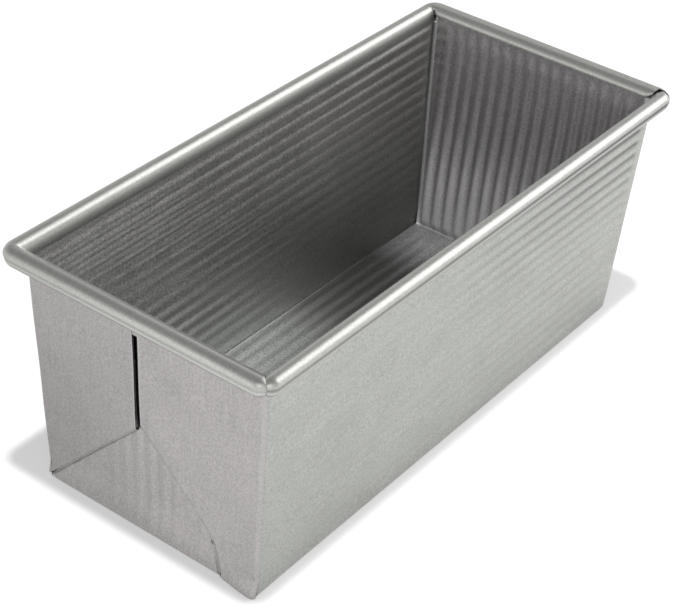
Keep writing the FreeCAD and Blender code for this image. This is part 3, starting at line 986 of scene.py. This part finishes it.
# %% Coated sheet
noises = table(("scale", "detail", "share"), {
    "speckle": (2500.0, 2.0, 1.6),
    "grain": (1200.0, 1.0, 2.0),
    "blotch": (70.0, 4.0, 0.6),
    "streak": (1.0, 3.0, 0.6),
})
along_streaks = (30.0, 900.0, 900.0)
upright_streaks = (900.0, 900.0, 30.0)
noise_middle = 0.5
film_share = 0.15
highlight_film_share = 0.5
shade_roughness = 0.3
relief_depth = 0.0002
rough_share = 1.3
satin = {"roughness": 0.36, "contrast": 0.16, "inner_contrast": 0.35, "relief": 0.15}
even_satin = {**satin, "inner_contrast": 0.2}
smooth = {"roughness": 0.4, "contrast": 0.09, "inner_contrast": 0.09, "relief": 0.07}
highlight_share = 0.35
cut_share = 0.85


def grey(level, red=0.0, green=0.0):
    """A grey with a little more red or green, taken from the blue."""
    return (level * (1 + red), level * (1 + green), level * (1 - red - green), 1.0)


def shaded(colour, share):
    """A colour made lighter or darker by a share."""
    return tuple(part * share for part in colour[:3]) + (1.0,)


# near black for painted shade, put where shade falls in gaps, under folds and in grooves
shade_black = grey(0.012)
# raw steel of the cut edges, darker than raw steel, which also paints the shade in gaps and slots
raw_edge_and_shade = grey(0.10, 0.02)
# a light grey for painted highlights
highlight_bright = grey(0.68)


def coated_sheet(name, outside, inside, streak_scale, touch):
    """Satin metal: colour from noises of several sizes, another colour inside, then painted highlights, cut
    edges and painted shade by the marks, with roughness and relief from the finest noise, the speckle."""
    material, strand = new_finish(name)
    place = strand.node("ShaderNodeTexCoord", output="Object")
    stretched = strand.node("ShaderNodeMapping", {}, {"Vector": place, "Scale": streak_scale})
    tone, noise = noise_middle, {}
    for kind, look in noises.items():
        vector = stretched if kind == "streak" else place
        inputs = {"Vector": vector, "Scale": look["scale"], "Detail": look["detail"]}
        noise[kind] = strand.node("ShaderNodeTexNoise", {}, inputs)
        tone = tone + (noise[kind] - noise_middle) * look["share"]
    speckle = noise["speckle"]
    marks = {mark: strand.node("ShaderNodeAttribute", {"attribute_name": mark}, output="Fac")
             for mark in ("inside", "soot", "worn", "cut_edge")}
    contrast = touch["contrast"]
    inner_contrast = touch["inner_contrast"]
    outer = tone.blend(shaded(outside, 1 - contrast), shaded(outside, 1 + contrast))
    inner = tone.blend(shaded(inside, 1 - inner_contrast), shaded(inside, 1 + inner_contrast))
    # the film's amount, varied by place as painted light, pales the inner colour and makes it less metallic
    colour = marks["inside"].blend(outer, inner)
    # painted highlight: lightens the colour where the highlight mark lies
    colour = (marks["worn"] * highlight_share).blend(colour, highlight_bright)
    # cut edges darkened: raw steel and painted shade
    colour = (marks["cut_edge"] * cut_share).blend(colour, raw_edge_and_shade)
    # painted shade: darkens the colour towards near black where the shade mark lies
    colour = marks["soot"].blend(colour, shade_black)
    rough = touch["roughness"] + (speckle - noise_middle) * (contrast * rough_share)
    rough = rough + marks["soot"] * shade_roughness
    metal = 1 - marks["inside"] * film_share - marks["worn"] * marks["inside"] * highlight_film_share
    relief = strand.node("ShaderNodeBump", {}, {
        "Height": speckle, "Strength": touch["relief"], "Distance": relief_depth})
    shader = strand.node("ShaderNodeBsdfPrincipled", {}, {
        "Base Color": colour, "Metallic": metal, "Roughness": rough, "Normal": relief})
    strand.node("ShaderNodeOutputMaterial", {}, {"Surface": shader})
    return material


rim_grey = grey(0.56, 0.012, 0.018)
wire_grey = grey(0.38)
# One coated sheet in three tints and levels, inside and out: the ends, the sides and the base each get the
# colour that the light gives them, as painted light
finishes = table(("outside", "inside", "streak_scale", "touch"), {
    "coated_sheet_warm": (grey(0.44, 0.03, -0.012), grey(0.54, 0.02, -0.018), upright_streaks, even_satin),
    "coated_sheet_cool": (grey(0.47, 0.005, 0.025), grey(0.52, 0.015, 0.003), along_streaks, satin),
    "coated_sheet_plain": (grey(0.45), grey(0.465, -0.015, 0.015), along_streaks, satin),
    "burnished_rim": (rim_grey, rim_grey, along_streaks, smooth),
    "drawn_wire": (wire_grey, wire_grey, along_streaks, smooth),
})
folded = [corner + part for corner in flaps for part in ("_flap", "_fold")]
wearers = {
    "coated_sheet_warm": ["front_end_wall", "rear_end_wall", "front_bridge", "rear_bridge", *folded],
    "coated_sheet_cool": ["left_side_wall", "right_side_wall"],
    "coated_sheet_plain": ["ribbed_base"],
    "burnished_rim": list(rims),
    "drawn_wire": [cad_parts["rim_wire"].name],
}
for finish, names in wearers.items():
    material = coated_sheet(finish, **finishes[finish])
    for name in names:
        mesh = bpy.data.objects[name].data
        mesh.materials.clear()
        mesh.materials.append(material)
    print(finish, "on", len(names))

# %% [markdown]
# The pan stands on a plain white floor under soft studio light. The floor mixes its own white with the
# light that falls on it, so it stays pale and keeps the shadow. In reflections the floor's colour carries a
# painted shade close to the pan and towards the left, for the pan's own shade on a real table. The world is
# white near the horizon and darker overhead, as in a studio, so the rim shows dark and bright bands.

# %% Floor, world and lamps
floor_half = 3.0
floor_mesh = bpy.data.meshes.new("pale_floor")
floor_corners = [(-floor_half, -floor_half, 0), (floor_half, -floor_half, 0),
                 (floor_half, floor_half, 0), (-floor_half, floor_half, 0)]
floor_mesh.from_pydata(floor_corners, [], [(0, 1, 2, 3)])
floor = linked("pale_floor", floor_mesh)

white = (1.0, 1.0, 1.0, 1.0)
camera_white_share = 0.33
gloss_white_share = 0.9
shade_reach = 0.4
left_shade = 1.6
floor_grey = grey(0.9)
floor_shades = [(0.0, grey(0.7)), (0.04, grey(0.9)), (0.1, grey(0.98)), (0.3, grey(1.08)), (1.0, grey(1.1))]
floor_finish, strand = new_finish("floor_finish")
camera_ray = strand.node("ShaderNodeLightPath", output="Is Camera Ray")
gloss_ray = strand.node("ShaderNodeLightPath", output="Is Glossy Ray")
glass_ray = strand.node("ShaderNodeLightPath", output="Is Transmission Ray")
place = strand.node("ShaderNodeTexCoord", output="Object")
along_pan = strand.node("ShaderNodeSeparateXYZ", {}, {"Vector": place}, "X")
across_pan = strand.node("ShaderNodeSeparateXYZ", {}, {"Vector": place}, "Y")
past_end = strand.value("MAXIMUM", strand.value("ABSOLUTE", along_pan) - end_foot * MM)
past_side = strand.value("MAXIMUM", strand.value("ABSOLUTE", across_pan) - side_foot * MM)
away = strand.value("SQRT", past_end * past_end + past_side * past_side) * (1 / shade_reach)
# painted shade: the reflected floor is darker towards the pan's left
away = away - strand.value("MAXIMUM", across_pan) * left_shade
# painted shade: the floor seen in reflections is darker close to the pan
shade = strand.node("ShaderNodeValToRGB", {"stops": floor_shades}, {"Fac": away})
lit = strand.node("ShaderNodeBsdfDiffuse", {}, {"Color": floor_grey})
glow = strand.node("ShaderNodeEmission", {}, {"Color": camera_ray.blend(shade, white)})
gloss_share = (1 - camera_ray) * (gloss_ray + glass_ray)
white_share = camera_ray * camera_white_share + gloss_share * gloss_white_share
mixed = strand.node("ShaderNodeMixShader", {}, {0: white_share, 1: lit, 2: glow})
strand.node("ShaderNodeOutputMaterial", {}, {"Surface": mixed})
floor_mesh.materials.append(floor_finish)

sky_shades = [(0.0, grey(0.9)), (0.05, grey(0.85)), (0.35, grey(0.65)), (0.6, grey(0.5)), (0.78, grey(0.3))]
world = bpy.data.worlds.new("studio")
bpy.context.scene.world = world
world.use_nodes = True
world.node_tree.nodes.clear()
strand = Strand(world.node_tree)
sky = strand.node("ShaderNodeTexCoord", output="Generated")
sky_height = strand.node("ShaderNodeSeparateXYZ", {}, {"Vector": sky}, "Z")
overhead = strand.node("ShaderNodeValToRGB", {"stops": sky_shades}, {"Fac": sky_height})
camera_ray = strand.node("ShaderNodeLightPath", output="Is Camera Ray")
background = strand.node("ShaderNodeBackground", {}, {"Color": camera_ray.blend(overhead, white)})
strand.node("ShaderNodeOutputWorld", {}, {"Surface": background})
aim_height = wire_height / 2 * MM


def softbox(name, direction, distance, width, height, power):
    """A flat lamp that looks at the middle of the pan from a direction."""
    lamp = bpy.data.lights.new(name, "AREA")
    lamp.shape = "RECTANGLE"
    lamp.size = width
    lamp.size_y = height
    lamp.energy = power
    towards = np.array(direction) / np.linalg.norm(direction)
    sideways = np.cross([0, 0, 1], towards)
    sideways = sideways / np.linalg.norm(sideways)
    place = towards * distance + np.array([0, 0, aim_height])
    print(name, "power", power)
    return linked(name, lamp, (sideways, np.cross(towards, sideways), towards, place))


lamps = table(("direction", "distance", "width", "height", "power"), {
    "back_right_softbox": ((0.70, -0.40, 0.56), 1.4, 1.15, 1.0, 7.2),
    "front_softbox": ((-0.667, -0.471, 0.578), 1.6, 1.2, 0.9, 3.4),
    "left_softbox": ((-0.83, 0.47, 0.28), 1.6, 1.2, 0.8, 1.2),
    "floor_lamp": ((-0.11, -0.085, 1.0), 3.0, 0.14, 0.14, 70.0),
})
boxes = {name: softbox(name, **lamp) for name, lamp in lamps.items()}
boxes["floor_lamp"].visible_glossy = False
bpy.context.scene.view_settings.view_transform = "Standard"
